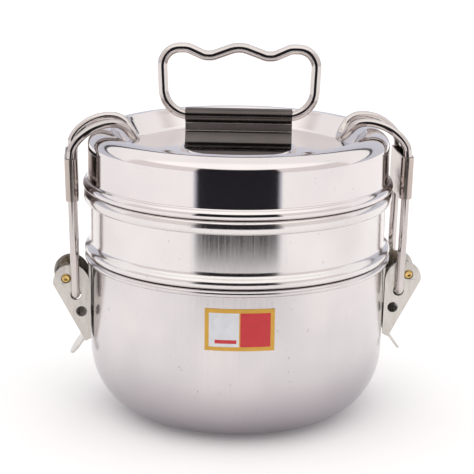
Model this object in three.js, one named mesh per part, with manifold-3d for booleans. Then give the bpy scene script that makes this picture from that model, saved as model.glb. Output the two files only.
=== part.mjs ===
// A two-tier stainless steel tiffin carrier, in millimetres, +Z up.
// The origin is on the table, under the centre of the pot. The two clips stand on +X and -X.
import * as THREE from 'three';
import { mergeVertices } from 'three/addons/utils/BufferGeometryUtils.js';
import Module from 'manifold-3d';

const wasm = await Module();
wasm.setup();

// ---------- driving dimensions ----------
const SHEET = 0.9;            // thickness of the drawn steel vessels
const GAP = 0.3;              // running clearance between neighbouring pieces
const ROUND_SEGMENTS = 40;    // facets round each vessel
const WIRE_SIDES = 8;         // facets round each wire
const PIN_SIDES = 16;

const POT_RADIUS = 74.2;      // outside of the pot's wall
const POT_BASE_RADIUS = 46;   // flat part of the pot's base
const POT_CORNER_HEIGHT = 33.6;
const POT_HEIGHT = 81;        // top of the pot's rolled rim
const RIM_ROLL = 1.35;        // centreline radius of that roll

const TIER_FLOOR = 69.1;      // underside of the upper container's floor
const TIER_NEST_RADIUS = 71.5;
const TIER_RADIUS = 74.1;
const TIER_HEIGHT = 114.2;    // top of the upper container's rolled rim

const LID_SKIRT_RADIUS = 72.5;
const LID_SKIRT_BOTTOM = 104;
const LID_BEAD_RADIUS = 78;
const LID_RADIUS = 75.3;
const LID_CROWN_RADIUS = 65.6;
const LID_CROWN_HEIGHT = 142.8;
const LID_PANEL_RADIUS = 57.5;
const LID_PANEL_HEIGHT = 132.8;
const PLATEAU_RADIUS = 28.8;
const PLATEAU_HEIGHT = 134.7;
const LID_TURN = THREE.MathUtils.degToRad(-7);   // handle's line against the clips' line

const HANDLE_WIRE = 5;        // wire diameter
const HANDLE_AXIS_HEIGHT = 149.5;
const HANDLE_HALF_WIDTH = 38.4; // at the top; the uprights lean in a little towards the bracket
const HANDLE_FOOT_HALF_WIDTH = 36.9;
const HANDLE_CREST = 33;      // crests of the grip above the axis
const GRIP_DIP = 3.3;
const GRIP_CREST_SPACING = 28.5;
const BRACKET_LENGTH = 53;
const BRACKET_SHEET = 0.9;

const LEVER_HALF_WIDTH = 11.25;
const LEVER_SHEET = 1;
const LEVER_PIVOT = new THREE.Vector2(86.4, 69.5);    // x, z
const BAIL_PIVOT = new THREE.Vector2(81.6, 61.4);
const BAIL_HOLE = new THREE.Vector2(81.6, 61.1);
const BAIL_HOLE_RADIUS = 2.8;
const SPARE_HOLE = new THREE.Vector2(78.9, 52.3);     // for a taller stack of containers
const SPARE_HOLE_RADIUS = 2.7;
const LEVER_HEAD = new THREE.Vector2(84, 67.55);      // centre of the rounded head
const LEVER_HEAD_RADIUS = 8.87;
const BACK_SLOPE = THREE.MathUtils.degToRad(62);
const BACK_OUTWARD = BACK_SLOPE - Math.PI / 2;
const BACK_OFFSET = 8.31;     // distance of the straight back from the head's centre
const BACK_LENGTH = 33.7;
const HEAD_INNER_END = THREE.MathUtils.degToRad(145);
const CHEEK_INNER_EDGE = 74.6;
const CHEEK_FOOT = new THREE.Vector2(74, 38.3);
const TONGUE_WIDTH = 15;
const TONGUE_LENGTH = 13.4;
const TONGUE_SLOPE = THREE.MathUtils.degToRad(-54);
const TONGUE_ROOT = new THREE.Vector2(76.7, 38);
const PIVOT_PIN_RADIUS = 2.2;
const BAIL_WIRE_RADIUS = 2.1;
const BAIL_HALF_WIDTH = 13.9;
const BAIL_SHOULDER = new THREE.Vector2(83.2, 131.6);   // where the straight legs end

const LABEL_WIDTH = 33;
const LABEL_HEIGHT = 20.5;
const LABEL_MIDDLE = 61.5;
const LABEL_DIRECTION = THREE.MathUtils.degToRad(-93.8);
const LABEL_THICKNESS = 0.3;

// ---------- materials ----------
const steel = (color, roughness) => new THREE.MeshStandardMaterial({ color, roughness, metalness: 1 });
const satinSteel = steel(0xc9c6c4, 0.3);
const brushedSteel = steel(0xd2cfcd, 0.36);
const mirrorSteel = steel(0xd8d6d6, 0.12);
const brightWire = steel(0xd9d6d2, 0.1);
const clipSteel = steel(0xb9b1a8, 0.42);
const sleeveSteel = steel(0xb3a49c, 0.35);
const darkSteel = steel(0x6b6663, 0.3);
const brass = steel(0xc79a45, 0.28);
const labelFoil = new THREE.MeshStandardMaterial({ color: 0xd8b455, roughness: 0.4, metalness: 0.3 });

// ---------- helpers ----------
function named(name, geometry, material) {
  const mesh = new THREE.Mesh(geometry, material);
  mesh.name = name;
  return mesh;
}

function offsetLine(points, distance) {
  return points.map((point, i) => {
    const before = points[Math.max(i - 1, 0)];
    const after = points[Math.min(i + 1, points.length - 1)];
    const along = after.clone().sub(before).normalize();
    return new THREE.Vector2(point.x - along.y * distance, point.y + along.x * distance);
  });
}

// A sheet that follows one path in (radius, height), turned about the vertical axis.
function spun(path, thickness) {
  const middle = path.getPoints(3);
  const outer = offsetLine(middle, -thickness / 2);
  const inner = offsetLine(middle, thickness / 2).reverse();
  const startsOnAxis = middle[0].x === 0;
  const outline = startsOnAxis ? [...outer, ...inner] : [...outer, ...inner, outer[0].clone()];
  const geometry = new THREE.LatheGeometry(outline, ROUND_SEGMENTS);
  return geometry.rotateX(Math.PI / 2);
}

// Shapes drawn in (x, z) get their thickness along Y, and shapes drawn in (y, z) along X.
const ACROSS_Y = new THREE.Matrix4().makeBasis(
  new THREE.Vector3(1, 0, 0), new THREE.Vector3(0, 0, 1), new THREE.Vector3(0, -1, 0));
const ALONG_X = new THREE.Matrix4().makeBasis(
  new THREE.Vector3(0, 1, 0), new THREE.Vector3(0, 0, 1), new THREE.Vector3(1, 0, 0));

function plate(shape, from, to, basis, curveSegments = 6) {
  const options = { depth: to - from, bevelEnabled: false, curveSegments };
  const geometry = new THREE.ExtrudeGeometry(shape, options);
  const start = basis === ACROSS_Y ? -to : from;
  return geometry.translate(0, 0, start).applyMatrix4(basis);
}

function pinGeometry(radius, halfLength, centre) {
  const geometry = new THREE.CylinderGeometry(radius, radius, halfLength * 2, PIN_SIDES);
  return geometry.translate(centre.x, 0, centre.y);
}

function wire(curve, radius, steps) {
  const circle = new THREE.Shape();
  circle.absarc(0, 0, radius, 0, Math.PI * 2, false);
  const options = { extrudePath: curve, steps, curveSegments: WIRE_SIDES / 2, bevelEnabled: false };
  return new THREE.ExtrudeGeometry(circle, options);
}

// A polyline with each inner corner rounded by the radius that its point carries.
function roundedPath(stops) {
  const curve = new THREE.CurvePath();
  let start = stops[0].at;
  for (let i = 1; i < stops.length - 1; i += 1) {
    const { at, bend } = stops[i];
    const back = stops[i - 1].at.clone().sub(at).normalize();
    const ahead = stops[i + 1].at.clone().sub(at).normalize();
    const turn = Math.PI - back.angleTo(ahead);
    const reach = bend * Math.tan(turn / 2);
    const enter = at.clone().addScaledVector(back, reach);
    const leave = at.clone().addScaledVector(ahead, reach);
    const pull = 4 / 3 * Math.tan(turn / 4) * bend;
    curve.add(new THREE.LineCurve3(start, enter));
    const enterPull = enter.clone().addScaledVector(back, -pull);
    const leavePull = leave.clone().addScaledVector(ahead, -pull);
    curve.add(new THREE.CubicBezierCurve3(enter, enterPull, leavePull, leave));
    start = leave;
  }
  curve.add(new THREE.LineCurve3(start, stops[stops.length - 1].at));
  return curve;
}

function toSolid(geometry) {
  const bare = geometry.clone();
  bare.deleteAttribute('normal');
  bare.deleteAttribute('uv');
  const merged = mergeVertices(bare, 1e-4);
  const mesh = { numProp: 3, vertProperties: merged.attributes.position.array, triVerts: merged.index.array };
  return new wasm.Manifold(new wasm.Mesh(mesh));
}

function toGeometry(solid) {
  const mesh = solid.getMesh();
  const geometry = new THREE.BufferGeometry();
  geometry.setAttribute('position', new THREE.BufferAttribute(mesh.vertProperties, 3));
  geometry.setIndex(new THREE.BufferAttribute(mesh.triVerts, 1));
  geometry.computeVertexNormals();
  return geometry;
}

function joined(...geometries) {
  return geometries.map(toSolid).reduce((whole, piece) => whole.add(piece));
}

function cut(solid, ...geometries) {
  return geometries.map(toSolid).reduce((left, piece) => left.subtract(piece), solid);
}

// ---------- vessels ----------
function potGeometry() {
  const wall = POT_RADIUS - SHEET / 2;
  const rollCentre = POT_HEIGHT - RIM_ROLL - SHEET / 2;
  const path = new THREE.Path();
  path.moveTo(0, SHEET / 2);
  path.lineTo(POT_BASE_RADIUS, SHEET / 2);
  const cornerRise = POT_CORNER_HEIGHT - SHEET / 2;
  path.absellipse(POT_BASE_RADIUS, POT_CORNER_HEIGHT, wall - POT_BASE_RADIUS, cornerRise, -Math.PI / 2, 0);
  path.absarc(wall + RIM_ROLL, rollCentre, RIM_ROLL, Math.PI, -Math.PI / 2, true);
  return spun(path, SHEET);
}

function upperContainerGeometry() {
  const nest = TIER_NEST_RADIUS - SHEET / 2;
  const wall = TIER_RADIUS - SHEET / 2;
  const floor = TIER_FLOOR + SHEET / 2;
  const flange = POT_HEIGHT + GAP + SHEET / 2;
  const flangeRadius = 76.45;
  const path = new THREE.Path();
  path.moveTo(0, floor);
  path.lineTo(nest - 8, floor);
  path.absarc(nest - 8, floor + 8, 8, -Math.PI / 2, 0, false);
  path.lineTo(nest, flange - 1.2);
  path.quadraticCurveTo(nest, flange, nest + 1.2, flange);
  path.lineTo(flangeRadius - 1.8, flange);
  path.quadraticCurveTo(flangeRadius, flange, flangeRadius, flange + 2.1);
  path.bezierCurveTo(flangeRadius, flange + 4.6, wall, flange + 4, wall, flange + 7.2);
  path.absellipse(wall + 1.6, TIER_HEIGHT - 3.45, 1.6, 3, Math.PI, -Math.PI / 2, true);
  return spun(path, SHEET);
}

function lidGeometry() {
  const plateau = PLATEAU_HEIGHT - SHEET / 2;
  const panel = LID_PANEL_HEIGHT - SHEET / 2;
  const crown = LID_CROWN_HEIGHT - SHEET / 2;
  const wall = LID_RADIUS - SHEET / 2;
  const bead = LID_BEAD_RADIUS - SHEET / 2;
  const skirt = LID_SKIRT_RADIUS - SHEET / 2;
  const shoulderHeight = 6.2;
  const beadTop = 119.2;
  const beadBottom = TIER_HEIGHT + GAP + SHEET / 2;
  const path = new THREE.Path();
  path.moveTo(skirt, LID_SKIRT_BOTTOM);
  path.lineTo(skirt, beadBottom - 1.3);
  path.quadraticCurveTo(skirt, beadBottom, skirt + 1.3, beadBottom);
  path.lineTo(bead - 1.7, beadBottom);
  path.bezierCurveTo(bead + 0.5, beadBottom, bead + 0.6, beadTop - 1.3, wall, beadTop);
  const shoulderWidth = wall - LID_CROWN_RADIUS;
  const shoulderStart = crown - shoulderHeight;
  path.absellipse(LID_CROWN_RADIUS, shoulderStart, shoulderWidth, shoulderHeight, 0, Math.PI / 2);
  path.quadraticCurveTo(LID_CROWN_RADIUS - 1.7, crown, LID_CROWN_RADIUS - 2.6, crown - 1.7);
  path.lineTo(LID_PANEL_RADIUS + 1.5, panel + 1.4);
  path.quadraticCurveTo(LID_PANEL_RADIUS + 0.7, panel, LID_PANEL_RADIUS - 1, panel);
  path.lineTo(PLATEAU_RADIUS + 0.9, panel);
  path.quadraticCurveTo(PLATEAU_RADIUS + 0.1, panel, PLATEAU_RADIUS, panel + 0.8);
  path.lineTo(PLATEAU_RADIUS - 0.1, plateau - 0.8);
  path.quadraticCurveTo(PLATEAU_RADIUS - 0.2, plateau, PLATEAU_RADIUS - 1.1, plateau);
  path.lineTo(0, plateau);
  const middle = path.getPoints(3);
  const outer = offsetLine(middle, -SHEET / 2);
  const inner = offsetLine(middle, SHEET / 2);
  const outline = [...inner.reverse(), ...outer];
  return new THREE.LatheGeometry(outline, ROUND_SEGMENTS).rotateX(Math.PI / 2);
}

// ---------- handle ----------
// The bracket is one sheet: rolled round the wire, pinched below it, and spread into two feet.
function bracketGeometry() {
  const bore = HANDLE_WIRE / 2 + GAP;
  const roll = bore + BRACKET_SHEET;
  const neck = BRACKET_SHEET + 0.15;
  const pinchEnd = HANDLE_AXIS_HEIGHT - 7.5;
  const foot = PLATEAU_HEIGHT + GAP;
  const footReach = 9.6;
  const heel = 4.2;
  const rollEnd = Math.asin(neck / roll);
  const shape = new THREE.Shape();
  shape.moveTo(neck, HANDLE_AXIS_HEIGHT - roll * Math.cos(rollEnd));
  shape.absarc(0, HANDLE_AXIS_HEIGHT, roll, rollEnd - Math.PI / 2, Math.PI * 1.5 - rollEnd, false);
  shape.lineTo(-neck, pinchEnd);
  shape.lineTo(-heel, foot + BRACKET_SHEET + 0.6);
  shape.lineTo(-heel - 1.2, foot + BRACKET_SHEET);
  shape.lineTo(-footReach, foot + BRACKET_SHEET);
  shape.lineTo(-footReach, foot);
  shape.lineTo(-heel - 0.6, foot);
  shape.lineTo(-heel + 0.6, foot + 0.9);
  shape.lineTo(0, pinchEnd - 1.2);
  shape.lineTo(heel - 0.6, foot + 0.9);
  shape.lineTo(heel + 0.6, foot);
  shape.lineTo(footReach, foot);
  shape.lineTo(footReach, foot + BRACKET_SHEET);
  shape.lineTo(heel + 1.2, foot + BRACKET_SHEET);
  shape.lineTo(heel, foot + BRACKET_SHEET + 0.6);
  shape.lineTo(neck, pinchEnd);
  const hole = new THREE.Path();
  hole.absarc(0, HANDLE_AXIS_HEIGHT, bore, 0, Math.PI * 2, true);
  shape.holes.push(hole);
  const end = BRACKET_LENGTH / 2;
  return plate(shape, -end, end, ALONG_X, 8);
}

// The bent wire: a straight run in the bracket, two uprights and a grip with three finger waves.
function handleCurve() {
  const base = HANDLE_AXIS_HEIGHT;
  const crest = base + HANDLE_CREST;
  const dip = crest - GRIP_DIP;
  const at = (x, z) => new THREE.Vector3(x, 0, z);
  const half = [
    { at: at(GAP / 2, base) },
    { at: at(HANDLE_FOOT_HALF_WIDTH, base), bend: 13 },
    { at: at(HANDLE_HALF_WIDTH, crest + 0.4), bend: 9 },
    { at: at(GRIP_CREST_SPACING - 3, crest + 0.4), bend: 7 },
    { at: at(GRIP_CREST_SPACING / 2 + 3, dip), bend: 7 },
    { at: at(GRIP_CREST_SPACING / 2 - 1, dip), bend: 7 },
  ];
  const other = half.map((stop) => ({ ...stop, at: at(-stop.at.x, stop.at.z) })).reverse();
  const crown = { at: at(0, crest + 1.6), bend: 13 };
  return roundedPath([...half, crown, ...other]);
}

// ---------- one clip, standing on +X ----------
const circleHole = (centre, radius) => {
  const hole = new THREE.Path();
  hole.absarc(centre.x, centre.y, radius, 0, Math.PI * 2, true);
  return hole;
};

// A point on the lever's straight back, or on the inside of its sheet when inset is positive.
function onBack(inset, fromCorner) {
  const offset = BACK_OFFSET - inset;
  const along = Math.sqrt(LEVER_HEAD_RADIUS ** 2 - BACK_OFFSET ** 2) - fromCorner;
  return new THREE.Vector2(
    LEVER_HEAD.x + offset * Math.cos(BACK_OUTWARD) + along * Math.cos(BACK_SLOPE),
    LEVER_HEAD.y + offset * Math.sin(BACK_OUTWARD) + along * Math.sin(BACK_SLOPE));
}

// The side view of a cheek: a straight back, a round head and an inner edge along the pot.
function cheekOutline() {
  const cornerAngle = BACK_OUTWARD + Math.acos(BACK_OFFSET / LEVER_HEAD_RADIUS);
  const backFoot = onBack(0, BACK_LENGTH);
  const shape = new THREE.Shape();
  shape.moveTo(CHEEK_FOOT.x, CHEEK_FOOT.y);
  shape.lineTo(backFoot.x, backFoot.y);
  shape.absarc(LEVER_HEAD.x, LEVER_HEAD.y, LEVER_HEAD_RADIUS, cornerAngle, HEAD_INNER_END, false);
  shape.quadraticCurveTo(CHEEK_INNER_EDGE + 0.2, 70.3, CHEEK_INNER_EDGE, 66.5);
  return shape;
}

// The hollow between the cheeks. Only the straight back is closed, and the head stays open.
function hollowOutline() {
  const low = onBack(LEVER_SHEET, BACK_LENGTH + 6);
  const high = onBack(LEVER_SHEET, 0.6);
  const edge = onBack(-1, 0.6);
  const top = LEVER_HEAD.y + LEVER_HEAD_RADIUS + 1;
  const openSide = CHEEK_INNER_EDGE - 6;
  const shape = new THREE.Shape();
  shape.moveTo(openSide, low.y);
  shape.lineTo(low.x, low.y);
  shape.lineTo(high.x, high.y);
  shape.lineTo(edge.x, edge.y);
  shape.lineTo(edge.x + 2, top);
  shape.lineTo(openSide, top);
  return shape;
}

function tongueGeometry() {
  const shape = new THREE.Shape();
  const straight = TONGUE_LENGTH - TONGUE_WIDTH / 2;
  shape.moveTo(0, -TONGUE_WIDTH / 2);
  shape.lineTo(straight, -TONGUE_WIDTH / 2);
  shape.absarc(straight, 0, TONGUE_WIDTH / 2, -Math.PI / 2, Math.PI / 2, false);
  shape.lineTo(0, TONGUE_WIDTH / 2);
  const options = { depth: LEVER_SHEET, bevelEnabled: false, curveSegments: 6 };
  const geometry = new THREE.ExtrudeGeometry(shape, options).translate(0, 0, -LEVER_SHEET / 2);
  geometry.rotateY(-TONGUE_SLOPE);
  return geometry.translate(TONGUE_ROOT.x, 0, TONGUE_ROOT.y);
}

function leverGeometry() {
  const body = cheekOutline();
  body.holes.push(circleHole(LEVER_PIVOT, PIVOT_PIN_RADIUS + GAP));
  body.holes.push(circleHole(BAIL_HOLE, BAIL_HOLE_RADIUS));
  body.holes.push(circleHole(SPARE_HOLE, SPARE_HOLE_RADIUS));
  const block = plate(body, -LEVER_HALF_WIDTH, LEVER_HALF_WIDTH, ACROSS_Y, 7);
  const hollowHalf = LEVER_HALF_WIDTH - LEVER_SHEET;
  const channel = cut(joined(block), plate(hollowOutline(), -hollowHalf, hollowHalf, ACROSS_Y));
  return toGeometry(channel.add(toSolid(tongueGeometry())));
}

// The hinge's foot is curved to the pot's wall, and its two ears reach out and up to the pivot.
function hingeBaseGeometry() {
  const inner = POT_RADIUS + GAP;
  const outer = inner + 1;
  const halfAngle = 8 / inner;
  const bottom = 54;
  const top = 76;
  const foot = new THREE.Shape();
  foot.absarc(0, 0, outer, -halfAngle, halfAngle, false);
  foot.absarc(0, 0, inner, halfAngle, -halfAngle, true);
  const options = { depth: top - bottom, bevelEnabled: false, curveSegments: 4 };
  const footPlate = new THREE.ExtrudeGeometry(foot, options);
  footPlate.translate(0, 0, bottom);
  const boss = 3.7;
  const lean = THREE.MathUtils.degToRad(215);
  const wallX = inner + 0.4;
  const run = (LEVER_PIVOT.x - wallX) / Math.cos(lean - Math.PI);
  const edge = (side) => new THREE.Vector2(
    wallX, LEVER_PIVOT.y + run * Math.sin(lean) + side * boss / Math.cos(lean - Math.PI));
  const ear = new THREE.Shape();
  ear.moveTo(wallX, edge(-1).y);
  ear.absarc(LEVER_PIVOT.x, LEVER_PIVOT.y, boss, lean - Math.PI * 1.5, lean - Math.PI / 2, false);
  ear.lineTo(wallX, edge(1).y);
  ear.holes.push(circleHole(LEVER_PIVOT, PIVOT_PIN_RADIUS + GAP));
  const ears = [-5.8, 4.6].map((from) => plate(ear, from, from + 1.2, ACROSS_Y));
  return toGeometry(joined(footPlate, ...ears));
}

// Each leg has a short stub in the lever, a straight run, and an arch over the lid's crown.
function bailCurve() {
  const outline = [
    [BAIL_SHOULDER.x, BAIL_HALF_WIDTH, BAIL_SHOULDER.y],
    [82.7, BAIL_HALF_WIDTH, 135.4],
    [80.6, 13.7, 139],
    [77.3, 13.2, 142.3],
    [73.2, 12.4, 145.1],
    [68.8, 11.4, 146.8],
    [64.2, 10.4, 147.6],
    [60, 9.6, 147.2],
    [56.8, 8.7, 145.5],
    [54.6, 7.6, 142.9],
    [52.7, 5.6, 140.3],
    [51.4, 2.8, 138.6],
  ];
  const near = outline.map(([x, y, z]) => new THREE.Vector3(x, -y, z));
  const far = outline.map(([x, y, z]) => new THREE.Vector3(x, y, z)).reverse();
  const tip = new THREE.Vector3(51, 0, 138.2);
  const arch = new THREE.CatmullRomCurve3([...near, tip, ...far], false, 'centripetal');
  const stubEnd = 8.9;
  const corner = 3;
  const leg = (side) => {
    const stub = new THREE.Vector3(BAIL_PIVOT.x, side * stubEnd, BAIL_PIVOT.y);
    const bendStart = new THREE.Vector3(BAIL_PIVOT.x, side * (BAIL_HALF_WIDTH - corner), BAIL_PIVOT.y);
    const bendPoint = new THREE.Vector3(BAIL_PIVOT.x, side * BAIL_HALF_WIDTH, BAIL_PIVOT.y);
    const bendEnd = new THREE.Vector3(BAIL_PIVOT.x + 0.1, side * BAIL_HALF_WIDTH, BAIL_PIVOT.y + corner);
    const shoulder = new THREE.Vector3(outline[0][0], side * outline[0][1], outline[0][2]);
    return { stub, bendStart, bendPoint, bendEnd, shoulder };
  };
  const first = leg(-1);
  const last = leg(1);
  const curve = new THREE.CurvePath();
  curve.add(new THREE.LineCurve3(first.stub, first.bendStart));
  curve.add(new THREE.QuadraticBezierCurve3(first.bendStart, first.bendPoint, first.bendEnd));
  curve.add(new THREE.LineCurve3(first.bendEnd, first.shoulder));
  curve.add(arch);
  curve.add(new THREE.LineCurve3(last.shoulder, last.bendEnd));
  curve.add(new THREE.QuadraticBezierCurve3(last.bendEnd, last.bendPoint, last.bendStart));
  curve.add(new THREE.LineCurve3(last.bendStart, last.stub));
  return curve;
}

// A flat tube of folded sheet that holds the bail's two legs together.
function sleeveGeometry() {
  const sheet = 0.8;
  const bottom = 110;
  const top = 131;
  const ring = (grow) => {
    const end = BAIL_WIRE_RADIUS + GAP + grow;
    const points = [];
    for (const side of [1, -1]) {
      for (let i = 0; i <= 6; i += 1) {
        const angle = side * Math.PI / 2 - Math.PI / 2 + Math.PI * i / 6;
        points.push(new THREE.Vector2(end * Math.cos(angle), side * BAIL_HALF_WIDTH + end * Math.sin(angle)));
      }
    }
    return points;
  };
  const shape = new THREE.Shape(ring(sheet));
  shape.holes.push(new THREE.Path(ring(0).reverse()));
  const geometry = new THREE.ExtrudeGeometry(shape, { depth: top - bottom, bevelEnabled: false });
  const legLean = Math.atan2(BAIL_SHOULDER.x - BAIL_PIVOT.x, BAIL_SHOULDER.y - BAIL_PIVOT.y);
  geometry.translate(0, 0, -(top - bottom) / 2).rotateY(legLean);
  const middle = (top + bottom) / 2;
  const middleX = BAIL_PIVOT.x + (middle - BAIL_PIVOT.y) * Math.tan(legLean);
  return geometry.translate(middleX, 0, middle);
}

function clip(side, turn) {
  const group = new THREE.Group();
  group.rotation.z = turn;
  const pin = pinGeometry(PIVOT_PIN_RADIUS, LEVER_HALF_WIDTH + 0.2, LEVER_PIVOT);
  group.add(
    named(`${side}_hinge_base`, hingeBaseGeometry(), clipSteel),
    named(`${side}_pivot_pin`, pin, brass),
    named(`${side}_lever`, leverGeometry(), clipSteel),
    named(`${side}_bail_wire`, wire(bailCurve(), BAIL_WIRE_RADIUS, 76), brightWire),
    named(`${side}_bail_sleeve`, sleeveGeometry(), sleeveSteel));
  return group;
}

// ---------- label ----------
function labelGeometry() {
  const inner = POT_RADIUS + GAP;
  const outer = inner + LABEL_THICKNESS;
  const halfAngle = LABEL_WIDTH / 2 / outer;
  const shape = new THREE.Shape();
  shape.absarc(0, 0, outer, LABEL_DIRECTION - halfAngle, LABEL_DIRECTION + halfAngle, false);
  shape.absarc(0, 0, inner, LABEL_DIRECTION + halfAngle, LABEL_DIRECTION - halfAngle, true);
  const options = { depth: LABEL_HEIGHT, bevelEnabled: false, curveSegments: 8 };
  return new THREE.ExtrudeGeometry(shape, options).translate(0, 0, LABEL_MIDDLE - LABEL_HEIGHT / 2);
}

// ---------- assembly ----------
const group = new THREE.Group();
group.add(
  named('bottom_pot', potGeometry(), satinSteel),
  named('front_label', labelGeometry(), labelFoil),
  named('upper_container', upperContainerGeometry(), brushedSteel));

const lidAssembly = new THREE.Group();
lidAssembly.rotation.z = LID_TURN;
lidAssembly.add(
  named('lid', lidGeometry(), mirrorSteel),
  named('handle_bracket', bracketGeometry(), darkSteel),
  named('handle_wire', wire(handleCurve(), HANDLE_WIRE / 2, 66), brightWire));
group.add(lidAssembly, clip('right', 0), clip('left', Math.PI));

export default group;
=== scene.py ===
# Looks of the tiffin carrier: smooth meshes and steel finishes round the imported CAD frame.
import bpy
import bmesh
import math
from mathutils import Matrix, Vector


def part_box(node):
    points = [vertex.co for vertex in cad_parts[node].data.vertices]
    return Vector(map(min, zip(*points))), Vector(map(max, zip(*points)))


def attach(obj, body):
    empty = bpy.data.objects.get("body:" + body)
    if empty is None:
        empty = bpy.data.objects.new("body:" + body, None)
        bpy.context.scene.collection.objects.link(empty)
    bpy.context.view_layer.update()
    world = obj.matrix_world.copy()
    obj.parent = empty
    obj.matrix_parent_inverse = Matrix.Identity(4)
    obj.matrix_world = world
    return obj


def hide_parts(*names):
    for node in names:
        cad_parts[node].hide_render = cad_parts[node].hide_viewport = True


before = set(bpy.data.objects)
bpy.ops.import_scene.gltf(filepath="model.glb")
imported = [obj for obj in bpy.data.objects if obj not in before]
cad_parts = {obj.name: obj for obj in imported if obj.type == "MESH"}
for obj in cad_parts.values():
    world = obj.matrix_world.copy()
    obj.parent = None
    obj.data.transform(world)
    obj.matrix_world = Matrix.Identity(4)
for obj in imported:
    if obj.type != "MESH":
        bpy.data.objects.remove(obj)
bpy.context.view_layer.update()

MM = 0.001
MERGE_DISTANCE = 0.002 * MM

# ---------- sizes, in millimetres, read from the frame where a node gives them ----------


def extent(node):
    low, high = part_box(node)
    return [value / MM for value in low], [value / MM for value in high]


POT_HEIGHT = extent("bottom_pot")[1][2]
TIER_FLOOR = extent("upper_container")[0][2]
TIER_HEIGHT = extent("upper_container")[1][2]
LID_SKIRT_BOTTOM = extent("lid")[0][2]
LID_CROWN_HEIGHT = extent("lid")[1][2]
LABEL_LOW, LABEL_HIGH = extent("front_label")

SHEET = 0.7
GAP = 0.3
POT_RADIUS = 74.2
POT_BASE_RADIUS = 46
POT_CORNER_HEIGHT = 33.6
RIM_ROLL = 1.35
TIER_NEST_RADIUS = 71.5
TIER_RADIUS = 74.1
TIER_FLANGE_RADIUS = 76.9
LID_SKIRT_RADIUS = 72.5
LID_BEAD_RADIUS = 77.6
LID_RADIUS = 75.3
LID_CROWN_RADIUS = 65.6
LID_PANEL_RADIUS = 57.5
LID_PANEL_HEIGHT = 132.8
PLATEAU_RADIUS = 28.8
PLATEAU_HEIGHT = 134.7
LID_TURN = math.radians(-7)
HANDLE_RADIUS = 2.5
HANDLE_AXIS_HEIGHT = 149.5
HANDLE_HALF_WIDTH = 38.4
HANDLE_FOOT_HALF_WIDTH = 36.9
HANDLE_CREST = 33
GRIP_DIP = 3.3
GRIP_CREST_SPACING = 28.5
BRACKET_LENGTH = 53
BRACKET_SHEET = 0.9
LEVER_HALF_WIDTH = 11.25
LEVER_SHEET = 1
LEVER_PIVOT = (86.4, 69.5)
BAIL_PIVOT = (81.6, 61.4)
SPARE_HOLE = (78.9, 52.3)
LEVER_HEAD = (84, 67.55)
LEVER_HEAD_RADIUS = 8.87
PIVOT_PIN_RADIUS = 2.2
BAIL_WIRE_RADIUS = 2.1
BAIL_HALF_WIDTH = 13.9
BAIL_SHOULDER = (83.2, 131.6)

# ---------- camera ----------
CAMERA_AZIMUTH = math.radians(-95)
CAMERA_DISTANCE = 800         # millimetres from the carrier's axis, along the floor
CAMERA_HEIGHT = 296.5
CAMERA_PITCH = math.radians(14.67)
CAMERA_ROLL = math.radians(0.72)
CAMERA_SIDESTEP = -0.13
FOCAL_PIXELS = 1632
FRAME_PIXELS = 474
SENSOR = 36
CAMERA_REACH = 20             # metres


def camera_axes():
    """The level directions from the carrier towards the camera, and to the camera's right."""
    away = Vector((math.cos(CAMERA_AZIMUTH), math.sin(CAMERA_AZIMUTH), 0))
    return away, Vector((-away.y, away.x, 0))


def make_camera():
    away, right = camera_axes()
    data = bpy.data.cameras.new("camera")
    data.sensor_width = SENSOR
    data.lens = FOCAL_PIXELS / FRAME_PIXELS * SENSOR
    data.clip_end = CAMERA_REACH
    camera = bpy.data.objects.new("camera", data)
    bpy.context.collection.objects.link(camera)
    place = away * CAMERA_DISTANCE + right * CAMERA_SIDESTEP
    camera.location = Vector((place.x, place.y, CAMERA_HEIGHT)) * MM
    down = Vector((0, 0, -1))
    forward = -away * math.cos(CAMERA_PITCH) + down * math.sin(CAMERA_PITCH)
    turn = forward.to_track_quat("-Z", "Y").to_matrix().to_4x4()
    roll = Matrix.Rotation(CAMERA_ROLL, 4, "Z")
    camera.rotation_euler = (turn @ roll).to_euler()
    bpy.context.scene.camera = camera


make_camera()

# ---------- mesh helpers ----------


def link_mesh(name, mesh):
    piece = bpy.data.objects.new(name, mesh)
    bpy.context.collection.objects.link(piece)
    return piece


def shade(piece, angle=35):
    for polygon in piece.data.polygons:
        polygon.use_smooth = True
    piece.data.set_sharp_from_angle(angle=math.radians(angle))


def close_up(mesh):
    """Joins corners that lie on each other and turns every face outwards."""
    work = bmesh.new()
    work.from_mesh(mesh)
    bmesh.ops.remove_doubles(work, verts=work.verts, dist=MERGE_DISTANCE)
    bmesh.ops.recalc_face_normals(work, faces=work.faces)
    work.to_mesh(mesh)
    work.free()


def mesh_from(name, points, faces, angle=35):
    mesh = bpy.data.meshes.new(name)
    mesh.from_pydata([Vector(point) * MM for point in points], [], faces)
    mesh.update()
    close_up(mesh)
    piece = link_mesh(name, mesh)
    shade(piece, angle)
    return piece


def arc(centre, radius, start, end, count):
    """Points on an arc, or on an ellipse when radius is a pair. Angles are in degrees."""
    wide, tall = radius if isinstance(radius, tuple) else (radius, radius)
    points = []
    for i in range(count + 1):
        angle = math.radians(start + (end - start) * i / count)
        points.append((centre[0] + wide * math.cos(angle), centre[1] + tall * math.sin(angle)))
    return points


def bezier(controls, count=8):
    """Points on a Bezier curve of any degree, in 2-D or 3-D."""
    points = []
    for i in range(count + 1):
        t = i / count
        layer = [tuple(control) for control in controls]
        while len(layer) > 1:
            layer = [tuple(a + (b - a) * t for a, b in zip(p, q)) for p, q in zip(layer, layer[1:])]
        points.append(layer[0])
    return points


def without_repeats(points):
    kept = [points[0]]
    for point in points[1:]:
        if math.dist(point, kept[-1]) > 1e-4:
            kept.append(point)
    return kept


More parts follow.
